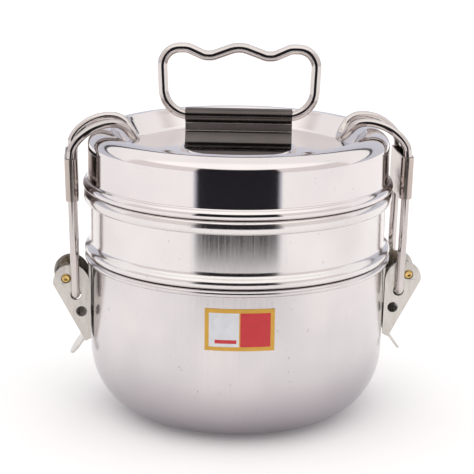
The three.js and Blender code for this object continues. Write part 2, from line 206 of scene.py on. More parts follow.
def offset_line(points, distance):
    """The points moved sideways, each at right angles to the line between its neighbours."""
    shifted = []
    for i, point in enumerate(points):
        before = points[max(i - 1, 0)]
        after = points[min(i + 1, len(points) - 1)]
        run = math.dist(before, after)
        along = ((after[0] - before[0]) / run, (after[1] - before[1]) / run)
        shifted.append((point[0] - along[1] * distance, point[1] + along[0] * distance))
    return shifted


def with_supports(points, margin=0.35, shortest=2.5):
    """Adds a point near both ends of each long run, so that a bend's shading stays in the bend."""
    kept = [points[0]]
    for start, end in zip(points, points[1:]):
        run = math.dist(start, end)
        if run > shortest:
            for share in (margin / run, 1 - margin / run):
                kept.append(tuple(a + (b - a) * share for a, b in zip(start, end)))
        kept.append(end)
    return kept


def sheet_outline(path, thickness):
    """The closed outline of a sheet of one thickness that follows an open path."""
    path = with_supports(without_repeats(path))
    outer = offset_line(path, -thickness / 2)
    inner = offset_line(path, thickness / 2)
    return outer + inner[::-1]


def spin(name, outline, segments=192, angle=32):
    """Turns a closed outline in (radius, height) about the vertical axis."""
    points = []
    rings = []
    for radius, height in outline:
        if abs(radius) < 1e-6:
            rings.append([len(points)] * segments)
            points.append((0, 0, height))
            continue
        rings.append(list(range(len(points), len(points) + segments)))
        for i in range(segments):
            turn = 2 * math.pi * i / segments
            points.append((radius * math.cos(turn), radius * math.sin(turn), height))
    faces = []
    for ring, above in zip(rings, rings[1:] + rings[:1]):
        for i in range(segments):
            j = (i + 1) % segments
            corners = [ring[i], ring[j], above[j], above[i]]
            face = [c for k, c in enumerate(corners) if c not in corners[:k]]
            if len(face) > 2:
                faces.append(face)
    piece = mesh_from(name, points, faces, angle)
    normals = piece.modifiers.new("normals", "WEIGHTED_NORMAL")
    normals.weight = 100
    normals.keep_sharp = True
    settle(piece)
    return piece


def smooth_curve(stops, per_span=10):
    """A centripetal Catmull-Rom curve through the stops."""
    stops = [Vector(stop) for stop in stops]
    stops = [2 * stops[0] - stops[1]] + stops + [2 * stops[-1] - stops[-2]]
    points = []
    for p0, p1, p2, p3 in zip(stops, stops[1:], stops[2:], stops[3:]):
        t1 = (p1 - p0).length ** 0.5
        t2 = t1 + (p2 - p1).length ** 0.5
        t3 = t2 + (p3 - p2).length ** 0.5
        for i in range(per_span):
            t = t1 + (t2 - t1) * i / per_span
            a1 = p0.lerp(p1, t / t1)
            a2 = p1.lerp(p2, (t - t1) / (t2 - t1))
            a3 = p2.lerp(p3, (t - t2) / (t3 - t2))
            b1 = a1.lerp(a2, t / t2)
            b2 = a2.lerp(a3, (t - t1) / (t3 - t1))
            points.append(b1.lerp(b2, (t - t1) / (t2 - t1)))
    points.append(stops[-2])
    return points


def rounded_path(stops):
    """A polyline of (point, bend radius) stops with an arc at each inner stop."""
    points = [Vector(stops[0][0])]
    for (before, _), (corner, bend), (after, _) in zip(stops, stops[1:], stops[2:]):
        corner = Vector(corner)
        back = (Vector(before) - corner).normalized()
        ahead = (Vector(after) - corner).normalized()
        turn = math.pi - back.angle(ahead)
        reach = bend * math.tan(turn / 2)
        pull = 4 / 3 * math.tan(turn / 4) * bend
        enter = corner + back * reach
        leave = corner + ahead * reach
        controls = [enter, enter - back * pull, leave - ahead * pull, leave]
        points += [Vector(p) for p in bezier(controls, 14)]
    points.append(Vector(stops[-1][0]))
    kept = [points[0]]
    for point in points[1:]:
        if (point - kept[-1]).length > 0.01:
            kept.append(point)
    return kept


# An eased wire end: how far in from the end, and how much off the radius, as shares of the easing.
END_STEPS = [(0, 1), (0.3, 0.3), (1, 0)]


def wire_ring(centre, tangent, side, radius, sides):
    across = tangent.cross(side).normalized()
    ring = []
    for k in range(sides):
        angle = 2 * math.pi * k / sides
        ring.append(centre + (side * math.cos(angle) + across * math.sin(angle)) * radius)
    return ring


def sweep(name, path, radius, sides=28, end_round=0.5):
    """A round wire along a path, with its ends eased by end_round."""
    tangents = []
    for i in range(len(path)):
        ahead = path[min(i + 1, len(path) - 1)]
        behind = path[max(i - 1, 0)]
        tangents.append((ahead - behind).normalized())
    side = tangents[0].orthogonal().normalized()
    rings = []
    for i, (centre, tangent) in enumerate(zip(path, tangents)):
        side = (side - tangent * side.dot(tangent)).normalized()
        steps = [(0, 0)]
        if i == 0:
            steps = END_STEPS
        elif i == len(path) - 1:
            steps = [(-along, cut) for along, cut in END_STEPS[::-1]]
        for along, cut in steps:
            middle = centre + tangent * end_round * along
            rings.append(wire_ring(middle, tangent, side, radius - end_round * cut, sides))
    points = [point for loop in rings for point in loop]
    faces = []
    for i in range(len(rings) - 1):
        for k in range(sides):
            j = (k + 1) % sides
            faces.append((i * sides + k, i * sides + j, (i + 1) * sides + j, (i + 1) * sides + k))
    faces.append(tuple(range(sides))[::-1])
    last = (len(rings) - 1) * sides
    faces.append(tuple(range(last, last + sides)))
    return mesh_from(name, points, faces, 50)


def slab(name, outline, holes, low, high, lay):
    """A flat shape with holes, extruded from low to high; lay maps (u, v, w) to a point."""
    data = bpy.data.curves.new(name, "CURVE")
    data.dimensions = "2D"
    data.fill_mode = "BOTH"
    data.extrude = (high - low) / 2 * MM
    for loop in [outline] + holes:
        spline = data.splines.new("POLY")
        spline.points.add(len(loop) - 1)
        for point, (u, v) in zip(spline.points, loop):
            point.co = (u * MM, v * MM, 0, 1)
        spline.use_cyclic_u = True
    carrier = bpy.data.objects.new(name + "_curve", data)
    mesh = bpy.data.meshes.new_from_object(carrier)
    bpy.data.objects.remove(carrier)
    bpy.data.curves.remove(data)
    middle = (low + high) / 2 * MM
    for vertex in mesh.vertices:
        vertex.co = lay(vertex.co.x, vertex.co.y, vertex.co.z + middle)
    close_up(mesh)
    return link_mesh(name, mesh)


def across_y(u, v, w):
    return Vector((u, w, v))


def along_x(u, v, w):
    return Vector((w, u, v))


def along_z(u, v, w):
    return Vector((u, v, w))


def settle(piece):
    """Applies the piece's modifiers to its mesh."""
    graph = bpy.context.evaluated_depsgraph_get()
    mesh = bpy.data.meshes.new_from_object(piece.evaluated_get(graph))
    piece.modifiers.clear()
    old = piece.data
    piece.data = mesh
    bpy.data.meshes.remove(old)


def combine(piece, tool, how):
    modifier = piece.modifiers.new("boolean", "BOOLEAN")
    modifier.operation = how
    modifier.solver = "EXACT"
    modifier.object = tool
    settle(piece)
    bpy.data.objects.remove(tool)


def ease_edges(piece, width, segments=2, limit=38):
    """Rounds the sharp edges, and keeps the flat faces flat in the shading."""
    for polygon in piece.data.polygons:
        polygon.use_smooth = True
    bevel = piece.modifiers.new("bevel", "BEVEL")
    bevel.width = width * MM
    bevel.segments = segments
    bevel.limit_method = "ANGLE"
    bevel.angle_limit = math.radians(limit)
    bevel.use_clamp_overlap = True
    normals = piece.modifiers.new("normals", "WEIGHTED_NORMAL")
    normals.weight = 100
    settle(piece)


def turned(piece, angle):
    """The piece turned about the carrier's axis."""
    piece.data.transform(Matrix.Rotation(angle, 4, "Z"))
    return piece


def moved(piece, point):
    """The piece moved from the origin to a point (x, z) on the carrier's middle plane."""
    piece.data.transform(Matrix.Translation(Vector((point[0], 0, point[1])) * MM))
    return piece


def place(piece, body, slot, material, *nodes):
    """Gives the piece its material, the body it rides on and the nodes it replaces; slot is not used."""
    piece.data.materials.clear()
    piece.data.materials.append(material)
    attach(piece, body)
    if nodes:
        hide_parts(*nodes)


# ---------- materials ----------


class Nodes:
    """Short calls for building one material's node tree."""

    def __init__(self, tree):
        self.tree = tree
        self.tree.nodes.clear()

    def add(self, kind, inputs=None, **settings):
        node = self.tree.nodes.new(kind)
        for key, value in settings.items():
            setattr(node, key, value)
        for key, value in (inputs or {}).items():
            if isinstance(value, bpy.types.NodeSocket):
                self.tree.links.new(value, node.inputs[key])
            else:
                node.inputs[key].default_value = value
        return node

    def math(self, operation, a, b=0.0, clamp=False):
        node = self.add("ShaderNodeMath", {0: a, 1: b}, operation=operation, use_clamp=clamp)
        return node.outputs[0]

    def dot(self, first, second):
        node = self.add("ShaderNodeVectorMath", {0: first, 1: second}, operation="DOT_PRODUCT")
        return node.outputs["Value"]

    def fade(self, value, low, high, to_low=0.0, to_high=1.0, smooth=True):
        kind = "SMOOTHSTEP" if smooth else "LINEAR"
        inputs = {"Value": value, "From Min": low, "From Max": high, "To Min": to_low, "To Max": to_high}
        return self.add("ShaderNodeMapRange", inputs, interpolation_type=kind).outputs["Result"]

    def noise(self, vector, scale, detail=2.0, rough=0.5):
        inputs = {"Vector": vector, "Scale": scale, "Detail": detail, "Roughness": rough}
        return self.add("ShaderNodeTexNoise", inputs).outputs["Fac"]

    def stretch(self, vector, scale, place=(0, 0, 0)):
        node = self.add("ShaderNodeMapping", {"Vector": vector, "Scale": scale, "Location": place})
        return node.outputs["Vector"]

    def blend(self, share, first, second):
        node = self.add("ShaderNodeMix", data_type="RGBA")
        for index, value in ((0, share), (6, first), (7, second)):
            if isinstance(value, bpy.types.NodeSocket):
                self.tree.links.new(value, node.inputs[index])
            else:
                node.inputs[index].default_value = value
        return node.outputs[2]


def opaque(red, green, blue):
    return (red, green, blue, 1)


# How often a finish's fine lines repeat each metre along X, Y and Z.
ALONG_HEIGHT = (1500, 1500, 12)
ROUND_RINGS = (40, 40, 2600)
ALONG_BRACKET = (60, 900, 900)
ALONG_LEVER = (500, 500, 120)
ALONG_SLEEVE = (900, 900, 60)
FINE = (700, 700, 700)

FOOT_SHADE_TOP = 48            # millimetres up the pot, where the painted shade on its foot fades out
# painted shade: the dark purple-grey the pot's foot fades to, standing in for the shadowed floor it
# reflects
FOOT_SHADE_COLOUR = (0.32, 0.29, 0.33)
STAIN_COLOUR = (0.2, 0.17, 0.15)
SCRATCH_STRETCH = (260, 260, 900)
SCRATCH_SHIFT = (0.4, 0.1, 0.7)
SCRATCH_ROUGHNESS = 0.16
RELIEF_HEIGHT = 0.001


def steel(name, light, dark, roughness, grain, depth=0, waves=0, spread=0.05, marks=0.3, foot=0):
    """Sheet steel that drifts between a light and a dark colour.

    depth is how deep the grain is cut, waves bends the reflections as hand work does, spread is how
    far the roughness strays, marks is how scratched and stained it is, and foot is how much painted
    shade darkens it towards z = 0, standing in for the shadowed floor reflected near the base."""
    material = bpy.data.materials.new(name)
    material.use_nodes = True
    nodes = Nodes(material.node_tree)
    place_on = nodes.add("ShaderNodeTexCoord").outputs["Object"]
    lines = nodes.noise(nodes.stretch(place_on, grain), 1, 4, 0.6)
    drift = nodes.noise(place_on, 22, 2)
    scratch_map = nodes.stretch(place_on, SCRATCH_STRETCH, SCRATCH_SHIFT)
    scratches = nodes.fade(nodes.noise(scratch_map, 1, 5, 0.7), 0.66, 0.74)
    specks = nodes.fade(nodes.noise(place_on, 620, 1), 0.735, 0.765)
    clean = nodes.blend(nodes.fade(drift, 0.3, 0.7), opaque(*light), opaque(*dark))
    # painted shade: the colour darkens towards z = 0, where the pot's lower belly reflects the shadowed
    # floor
    level = nodes.add("ShaderNodeSeparateXYZ", {0: place_on}).outputs["Z"]
    painted_foot_shade = nodes.fade(level, 0, FOOT_SHADE_TOP * MM, foot, 0)
    colour = nodes.blend(painted_foot_shade, clean, opaque(*FOOT_SHADE_COLOUR))
    stained = nodes.blend(nodes.math("MULTIPLY", specks, marks), colour, opaque(*STAIN_COLOUR))
    rough = nodes.fade(lines, 0.3, 0.7, roughness - spread, roughness + spread, smooth=False)
    scuffed = {0: scratches, 1: SCRATCH_ROUGHNESS * marks, 2: rough}
    worn = nodes.add("ShaderNodeMath", scuffed, operation="MULTIPLY_ADD").outputs[0]
    inputs = {"Base Color": stained, "Metallic": 1.0, "Roughness": worn}
    shader = nodes.add("ShaderNodeBsdfPrincipled", inputs)
    height = nodes.math("MULTIPLY", lines, depth)
    swell = nodes.math("MULTIPLY", nodes.noise(place_on, 34, 1), waves)
    relief = nodes.math("ADD", height, swell)
    bump = nodes.add("ShaderNodeBump", {"Height": relief, "Strength": 1.0, "Distance": RELIEF_HEIGHT})
    nodes.tree.links.new(bump.outputs["Normal"], shader.inputs["Normal"])
    nodes.add("ShaderNodeOutputMaterial", {"Surface": shader.outputs["BSDF"]})
    return material


def printed(name, colour, roughness):
    """Smooth printed foil with a slight mottle."""
    material = bpy.data.materials.new(name)
    material.use_nodes = True
    nodes = Nodes(material.node_tree)
    place_on = nodes.add("ShaderNodeTexCoord").outputs["Object"]
    mottle = nodes.noise(place_on, 300, 3)
    darker = tuple(channel * 0.93 for channel in colour)
    shade_of = nodes.blend(nodes.fade(mottle, 0.35, 0.7), opaque(*colour), opaque(*darker))
    rough = nodes.fade(mottle, 0.3, 0.7, roughness - 0.04, roughness + 0.06)
    shader = nodes.add("ShaderNodeBsdfPrincipled", {"Base Color": shade_of, "Roughness": rough})
    shader.inputs["Coat Weight"].default_value = 0.25
    shader.inputs["Coat Roughness"].default_value = 0.15
    bump = nodes.add("ShaderNodeBump", {"Height": mottle, "Strength": 0.15, "Distance": 0.0001})
    nodes.tree.links.new(bump.outputs["Normal"], shader.inputs["Normal"])
    nodes.add("ShaderNodeOutputMaterial", {"Surface": shader.outputs["BSDF"]})
    return material


# foot=0.8 paints shade onto the pot's lower belly
POT_STEEL = steel("pot_steel", (0.71, 0.675, 0.67), (0.61, 0.58, 0.59), 0.2, ALONG_HEIGHT,
                  depth=0.0012, waves=0.12, marks=0.5, foot=0.8)
TIER_STEEL = steel("tier_steel", (0.75, 0.72, 0.71), (0.67, 0.64, 0.635), 0.15, ALONG_HEIGHT,
                   depth=0.0005, waves=0.03, spread=0.04)
LID_STEEL = steel("lid_steel", (0.75, 0.71, 0.705), (0.68, 0.645, 0.645), 0.08, ROUND_RINGS,
                  depth=0.0002, waves=0.02, spread=0.02, marks=0.2)
# painted reflection: the bracket's near-black base colour stands in for the dark room its faces reflect
DARK_REFLECTION_BRACKET_STEEL = steel("bracket_steel", (0.13, 0.115, 0.11), (0.09, 0.08, 0.077), 0.22, ALONG_BRACKET,
                      depth=0.001, waves=0.05, spread=0.06)
# painted highlights: light steel for the thin strips along the bracket's bends
BEND_HIGHLIGHT_STEEL = steel("bend_highlight_steel", (0.72, 0.69, 0.66), (0.62, 0.59, 0.56), 0.2, FINE)
WIRE_STEEL = steel("wire_steel", (0.66, 0.61, 0.59), (0.54, 0.5, 0.485), 0.1, FINE,
                   waves=0.12, spread=0.04, marks=0.4)
CLIP_STEEL = steel("clip_steel", (0.66, 0.63, 0.59), (0.56, 0.53, 0.495), 0.25, ALONG_LEVER,
                   depth=0.003, waves=0.2, spread=0.06, marks=0.8)
SLEEVE_STEEL = steel("sleeve_steel", (0.58, 0.5, 0.455), (0.46, 0.4, 0.365), 0.2, ALONG_SLEEVE,
                     depth=0.002, waves=0.2, spread=0.06, marks=0.7)
BRASS = steel("brass", (0.76, 0.53, 0.2), (0.62, 0.42, 0.15), 0.2, FINE,
              depth=0.003, spread=0.06, marks=0.6)
GOLD_FOIL = printed("gold_foil", (0.72, 0.4, 0.04), 0.35)
PALE_PRINT = printed("pale_print", (0.78, 0.8, 0.84), 0.4)
RED_PRINT = printed("red_print", (0.62, 0.02, 0.03), 0.35)

# ---------- vessels ----------


def make_pot():
    wall = POT_RADIUS - SHEET / 2
    roll_centre = (wall + RIM_ROLL, POT_HEIGHT - RIM_ROLL - SHEET / 2)
    corner_size = (wall - POT_BASE_RADIUS, POT_CORNER_HEIGHT - SHEET / 2)
    path = [(0, SHEET / 2)]
    path += arc((POT_BASE_RADIUS, POT_CORNER_HEIGHT), corner_size, -90, 0, 40)
    path += arc(roll_centre, RIM_ROLL, 180, -90, 20)
    piece = spin("pot_body", sheet_outline(path, SHEET))
    place(piece, "pot", "pot_steel", POT_STEEL, "bottom_pot")


def make_upper_container():
    nest = TIER_NEST_RADIUS - SHEET / 2
    wall = TIER_RADIUS - SHEET / 2
    floor = TIER_FLOOR + SHEET / 2
    flange = POT_HEIGHT + GAP + SHEET / 2
    edge = TIER_FLANGE_RADIUS - SHEET / 2
    path = [(0, floor)]
    path += arc((nest - 8, floor + 8), 8, -90, 0, 14)
    path += bezier([(nest, flange - 1.2), (nest, flange), (nest + 1.2, flange)], 6)
    path += bezier([(edge - 1.8, flange), (edge, flange), (edge, flange + 2.1)], 10)
    path += bezier([(edge, flange + 2.1), (edge, flange + 4.6),
                    (wall, flange + 4), (wall, flange + 7.2)], 16)
    path += arc((wall + 1.6, TIER_HEIGHT - 3 - SHEET / 2), (1.6, 3), 180, -90, 24)
    piece = spin("upper_container_body", sheet_outline(path, SHEET))
    place(piece, "upper", "tier_steel", TIER_STEEL, "upper_container")


def make_lid():
    plateau = PLATEAU_HEIGHT - SHEET / 2
    panel = LID_PANEL_HEIGHT - SHEET / 2
    crown = LID_CROWN_HEIGHT - SHEET / 2
    wall = LID_RADIUS - SHEET / 2
    bead = LID_BEAD_RADIUS - SHEET / 2
    skirt = LID_SKIRT_RADIUS - SHEET / 2
    shoulder = 6.2
    bead_top = 119.2
    bead_bottom = TIER_HEIGHT + GAP + SHEET / 2
    crown_in = (LID_CROWN_RADIUS - 2.6, crown - 1.7)
    path = [(skirt, LID_SKIRT_BOTTOM)]
    path += bezier([(skirt, bead_bottom - 1.3), (skirt, bead_bottom), (skirt + 1.3, bead_bottom)], 6)
    path += bezier([(bead - 1.7, bead_bottom), (bead + 0.5, bead_bottom),
                    (bead + 0.6, bead_top - 1.4), (wall + 0.9, bead_top - 0.45)], 20)
    path += bezier([(wall + 0.9, bead_top - 0.45), (wall, bead_top - 0.15), (wall, bead_top + 0.9)], 8)
    path += arc((LID_CROWN_RADIUS, crown - shoulder), (wall - LID_CROWN_RADIUS, shoulder), 0, 90, 24)
    path += bezier([(LID_CROWN_RADIUS - 1.7, crown), (LID_CROWN_RADIUS - 1.7, crown), crown_in], 8)
    path += bezier([(LID_PANEL_RADIUS + 1.5, panel + 1.4), (LID_PANEL_RADIUS + 0.7, panel),
                    (LID_PANEL_RADIUS - 1, panel)], 10)
    path += bezier([(PLATEAU_RADIUS + 0.9, panel), (PLATEAU_RADIUS + 0.1, panel),
                    (PLATEAU_RADIUS, panel + 0.8)], 8)
    path += bezier([(PLATEAU_RADIUS - 0.1, plateau - 0.8), (PLATEAU_RADIUS - 0.2, plateau),
                    (PLATEAU_RADIUS - 1.1, plateau)], 8)
    path += [(0, plateau)]
    piece = spin("lid_shell", sheet_outline(path, SHEET)[::-1])
    place(turned(piece, LID_TURN), "lid_body", "lid_steel", LID_STEEL, "lid")


# ---------- handle ----------


def make_bracket():
    bore = HANDLE_RADIUS + GAP
    roll = bore + BRACKET_SHEET
    neck = BRACKET_SHEET + 0.15
    pinch_end = HANDLE_AXIS_HEIGHT - 7.5
    foot = PLATEAU_HEIGHT + GAP
    foot_reach = 9.6
    heel = 4.2
    roll_end = math.degrees(math.asin(neck / roll))
    centre = (0, HANDLE_AXIS_HEIGHT)
    half = bezier([(neck, pinch_end), (heel - 1.4, foot + BRACKET_SHEET + 2.2),
                   (heel - 0.4, foot + BRACKET_SHEET), (heel + 2, foot + BRACKET_SHEET)], 10)
    half += [(foot_reach, foot + BRACKET_SHEET), (foot_reach, foot)]
    half += bezier([(heel + 1.6, foot), (heel - 1.6, foot),
                    (heel - 2.4, foot + 1.6), (0, pinch_end - 1.2)], 10)
    other = [(-u, v) for u, v in half[::-1]][1:]
    outline = half + other + arc(centre, roll, 270 - roll_end, roll_end - 90, 48)
    bore_hole = arc(centre, bore, 0, 350, 35)
    end = BRACKET_LENGTH / 2
    piece = slab("bracket_sheet", outline, [bore_hole], -end, end, along_x)
    ease_edges(piece, 0.18)
    # the bracket carries a painted dark reflection in its base colour
    place(turned(piece, LID_TURN), "lid_body", "bracket_steel", DARK_REFLECTION_BRACKET_STEEL, "handle_bracket")


def make_bend_highlights():
    """Painted highlights: thin strips of light steel along the bracket's folded sheet, below the roll
    and above the feet, where its bends catch the light.
    """
    neck = BRACKET_SHEET + 0.15
    reach = BRACKET_LENGTH / 2 - 0.1
    strips = (("roll", neck + 0.12, HANDLE_AXIS_HEIGHT - 3.75, 0.2),
              ("neck", neck + 0.1, HANDLE_AXIS_HEIGHT - 7.7, 0.16))
    for name, offset, height, radius in strips:
        for side, sign in (("front", -1), ("back", 1)):
            y = sign * offset
            path = [Vector((share * reach, y, height)) for share in (-1, -0.5, 0, 0.5, 1)]
            piece = sweep(f"bracket_{name}_edge_{side}", path, radius, 12, 0.05)
            # each strip is a painted highlight
            place(turned(piece, LID_TURN), "lid_body", "bright_wire", BEND_HIGHLIGHT_STEEL)


def make_handle():
    base = HANDLE_AXIS_HEIGHT
    crest = base + HANDLE_CREST
    dip = crest - GRIP_DIP
    half = [
        ((GAP / 2, 0, base), 0),
        ((HANDLE_FOOT_HALF_WIDTH, 0, base), 13),
        ((HANDLE_HALF_WIDTH, 0, crest + 0.4), 9),
        ((GRIP_CREST_SPACING - 3, 0, crest + 0.4), 7),
        ((GRIP_CREST_SPACING / 2 + 3, 0, dip), 7),
        ((GRIP_CREST_SPACING / 2 - 1, 0, dip), 7),
    ]
    other = [((-x, y, z), bend) for (x, y, z), bend in half[::-1]]
    path = rounded_path(half + [((0, 0, crest + 1.6), 13)] + other)
    piece = sweep("handle_rod", path, HANDLE_RADIUS, 32)
    place(turned(piece, LID_TURN), "handle", "bright_wire", WIRE_STEEL, "handle_wire")


# ---------- one clip, standing on +X ----------
BACK_SLOPE = math.radians(62)
BACK_OUTWARD = BACK_SLOPE - math.pi / 2
BACK_OFFSET = 8.31
BACK_LENGTH = 33.7
CHEEK_INNER_EDGE = 74.6
CHEEK_FOOT = (74, 38.3)
TONGUE_WIDTH = 15
TONGUE_LENGTH = 13.4
TONGUE_SLOPE = math.radians(-54)
TONGUE_ROOT = (76.7, 38)
SPARE_HOLE_RADIUS = 2.7
HINGE_HALF_WIDTH = 8
HINGE_LOW = 54
HINGE_HIGH = 76
EAR_SHEET = 1.2
EAR_STARTS = (-5.8, 4.6)
SLEEVE_SHEET = 0.8
SLEEVE_LOW = 110
SLEEVE_HIGH = 131


def on_back(inset, from_corner):
    """A point on the lever's straight back, or inside its sheet when inset is positive."""
    offset = BACK_OFFSET - inset
    along = math.sqrt(LEVER_HEAD_RADIUS ** 2 - BACK_OFFSET ** 2) - from_corner
    return (LEVER_HEAD[0] + offset * math.cos(BACK_OUTWARD) + along * math.cos(BACK_SLOPE),
            LEVER_HEAD[1] + offset * math.sin(BACK_OUTWARD) + along * math.sin(BACK_SLOPE))


def hole(centre, radius, count=32):
    return arc(centre, radius, 0, 360 * (count - 1) / count, count - 1)


def make_lever(side, angle):
    corner = math.degrees(BACK_OUTWARD + math.acos(BACK_OFFSET / LEVER_HEAD_RADIUS))
    cheek = [CHEEK_FOOT, on_back(0, BACK_LENGTH)]
    cheek += arc(LEVER_HEAD, LEVER_HEAD_RADIUS, corner, 145, 26)
    cheek += bezier([cheek[-1], (CHEEK_INNER_EDGE + 0.2, 70.3), (CHEEK_INNER_EDGE, 66.5)], 8)[1:]
    holes = [hole(LEVER_PIVOT, PIVOT_PIN_RADIUS + GAP),
             hole((BAIL_PIVOT[0], BAIL_PIVOT[1] - 0.3), BAIL_WIRE_RADIUS + 0.7),
             hole(SPARE_HOLE, SPARE_HOLE_RADIUS)]
    piece = slab(f"{side}_lever_channel", cheek, holes, -LEVER_HALF_WIDTH, LEVER_HALF_WIDTH, across_y)
    low = on_back(LEVER_SHEET, BACK_LENGTH + 6)
    high = on_back(LEVER_SHEET, 0.6)
    edge = on_back(-1, 0.6)
    top = LEVER_HEAD[1] + LEVER_HEAD_RADIUS + 1
    open_side = CHEEK_INNER_EDGE - 6
    hollow = [(open_side, low[1]), low, high, edge, (edge[0] + 2, top), (open_side, top)]
    half = LEVER_HALF_WIDTH - LEVER_SHEET
    combine(piece, slab("hollow", hollow, [], -half, half, across_y), "DIFFERENCE")
    straight = TONGUE_LENGTH - TONGUE_WIDTH / 2
    tongue = [(0, -TONGUE_WIDTH / 2)]
    tongue += arc((straight, 0), TONGUE_WIDTH / 2, -90, 90, 24)
    tongue += [(0, TONGUE_WIDTH / 2)]
    blade = slab("tongue", tongue, [], -LEVER_SHEET / 2, LEVER_SHEET / 2, along_z)
    blade.data.transform(Matrix.Rotation(-TONGUE_SLOPE, 4, "Y"))
    combine(piece, moved(blade, TONGUE_ROOT), "UNION")
    ease_edges(piece, 0.22)
    place(turned(piece, angle), f"{side}_lever_body", "clip_steel", CLIP_STEEL, f"{side}_lever")


def curved_plate(name, inner, outer, start, end, low, high, steps=24):
    """A plate bent round the vertical axis. Angles are in radians."""
    points = []
    for i in range(steps + 1):
        angle = start + (end - start) * i / steps
        for radius, height in ((inner, low), (outer, low), (outer, high), (inner, high)):
            points.append((radius * math.cos(angle), radius * math.sin(angle), height))
    faces = [(0, 1, 2, 3), tuple(4 * steps + k for k in (3, 2, 1, 0))]
    for i in range(steps):
        for k in range(4):
            j = (k + 1) % 4
            faces.append((4 * i + k, 4 * i + j, 4 * i + 4 + j, 4 * i + 4 + k))
    return mesh_from(name, points, faces)


def make_hinge_base(side, angle):
    inner = POT_RADIUS + GAP
    half_angle = HINGE_HALF_WIDTH / inner
    piece = curved_plate(f"{side}_hinge_bracket", inner, inner + LEVER_SHEET,
                         -half_angle, half_angle, HINGE_LOW, HINGE_HIGH)
    boss = 3.7
    lean = 215
    slant = math.radians(lean - 180)
    wall_x = inner + 0.4
    run = (LEVER_PIVOT[0] - wall_x) / math.cos(slant)
    middle = LEVER_PIVOT[1] - run * math.sin(slant)
    rise = boss / math.cos(slant)
    ear = [(wall_x, middle - rise)]
    ear += arc(LEVER_PIVOT, boss, lean - 270, lean - 90, 24)
    ear += [(wall_x, middle + rise)]
    for low in EAR_STARTS:
        eye = hole(LEVER_PIVOT, PIVOT_PIN_RADIUS + GAP)
        combine(piece, slab("ear", ear, [eye], low, low + EAR_SHEET, across_y), "UNION")
    ease_edges(piece, 0.2)
    place(turned(piece, angle), "pot", "clip_steel", CLIP_STEEL, f"{side}_hinge_base")


def make_pin(side, angle):
    """A rivet with a small dimple in each domed end."""
    half = LEVER_HALF_WIDTH + 0.2
    end = [(0, half - 0.45), (0.7, half - 0.42), (1.05, half - 0.1), (1.35, half), (1.75, half - 0.05),
           (2.05, half - 0.25), (PIVOT_PIN_RADIUS, half - 0.6)]
    outline = end + [(radius, -height) for radius, height in end[::-1]]
    piece = spin(f"{side}_rivet", outline, 40, 50)
    piece.data.transform(Matrix.Rotation(math.pi / 2, 4, "X"))
    moved(piece, LEVER_PIVOT)
    place(turned(piece, angle), "pot", "brass", BRASS, f"{side}_pivot_pin")


def make_bail(side, angle):
    arch = [
        (BAIL_SHOULDER[0], BAIL_HALF_WIDTH, BAIL_SHOULDER[1]),
        (82.7, BAIL_HALF_WIDTH, 135.4),
        (80.6, 13.7, 139),
        (77.3, 13.2, 142.3),
        (73.2, 12.4, 145.1),
        (68.8, 11.4, 146.8),
        (64.2, 10.4, 147.6),
        (60, 9.6, 147.2),
        (56.8, 8.7, 145.5),
        (54.6, 7.6, 142.9),
        (52.7, 5.6, 140.3),
        (51.4, 2.8, 138.6),
    ]
    near = [(x, -y, z) for x, y, z in arch]
    bend = smooth_curve(near + [(51, 0, 138.2)] + arch[::-1], 6)
    x, z = BAIL_PIVOT
    corner = 3
    stub = [(x, -8.9, z)]
    stub += bezier([(x, corner - BAIL_HALF_WIDTH, z), (x, -BAIL_HALF_WIDTH, z),
                    (x + 0.1, -BAIL_HALF_WIDTH, z + corner)], 10)
    far_stub = [(px, -py, pz) for px, py, pz in stub[::-1]]
    path = [Vector(p) for p in stub] + bend + [Vector(p) for p in far_stub]
    piece = sweep(f"{side}_bail_rod", path, BAIL_WIRE_RADIUS, 28)
    place(turned(piece, angle), f"{side}_bail", "bright_wire", WIRE_STEEL, f"{side}_bail_wire")


def sleeve_ring(end):
    """An oblong round both of the bail's legs; end is the radius of its round ends."""
    near = arc((0, -BAIL_HALF_WIDTH), end, 180, 360, 16)
    return arc((0, BAIL_HALF_WIDTH), end, 0, 180, 16) + near


def make_sleeve(side, angle):
    outside, inside = (sleeve_ring(BAIL_WIRE_RADIUS + GAP + grow) for grow in (SLEEVE_SHEET, 0))
    lean = math.atan2(BAIL_SHOULDER[0] - BAIL_PIVOT[0], BAIL_SHOULDER[1] - BAIL_PIVOT[1])
    middle = (SLEEVE_HIGH + SLEEVE_LOW) / 2
    middle_x = BAIL_PIVOT[0] + (middle - BAIL_PIVOT[1]) * math.tan(lean)
    half = (SLEEVE_HIGH - SLEEVE_LOW) / 2
    piece = slab(f"{side}_sleeve_sheet", outside, [inside], -half, half, along_z)
    ease_edges(piece, 0.2)
    piece.data.transform(Matrix.Rotation(lean, 4, "Y"))
    moved(piece, (middle_x, middle))
    place(turned(piece, angle), f"{side}_bail", "sleeve_steel", SLEEVE_STEEL, f"{side}_bail_sleeve")


# ---------- label ----------
LABEL_HALF_WIDTH = 16.5
LABEL_BORDER = 2
LABEL_SPLIT = 0.004           # radians of gold left between the middle and each printed half
STRIPE_LOW = 1.6
STRIPE_HIGH = 3.4


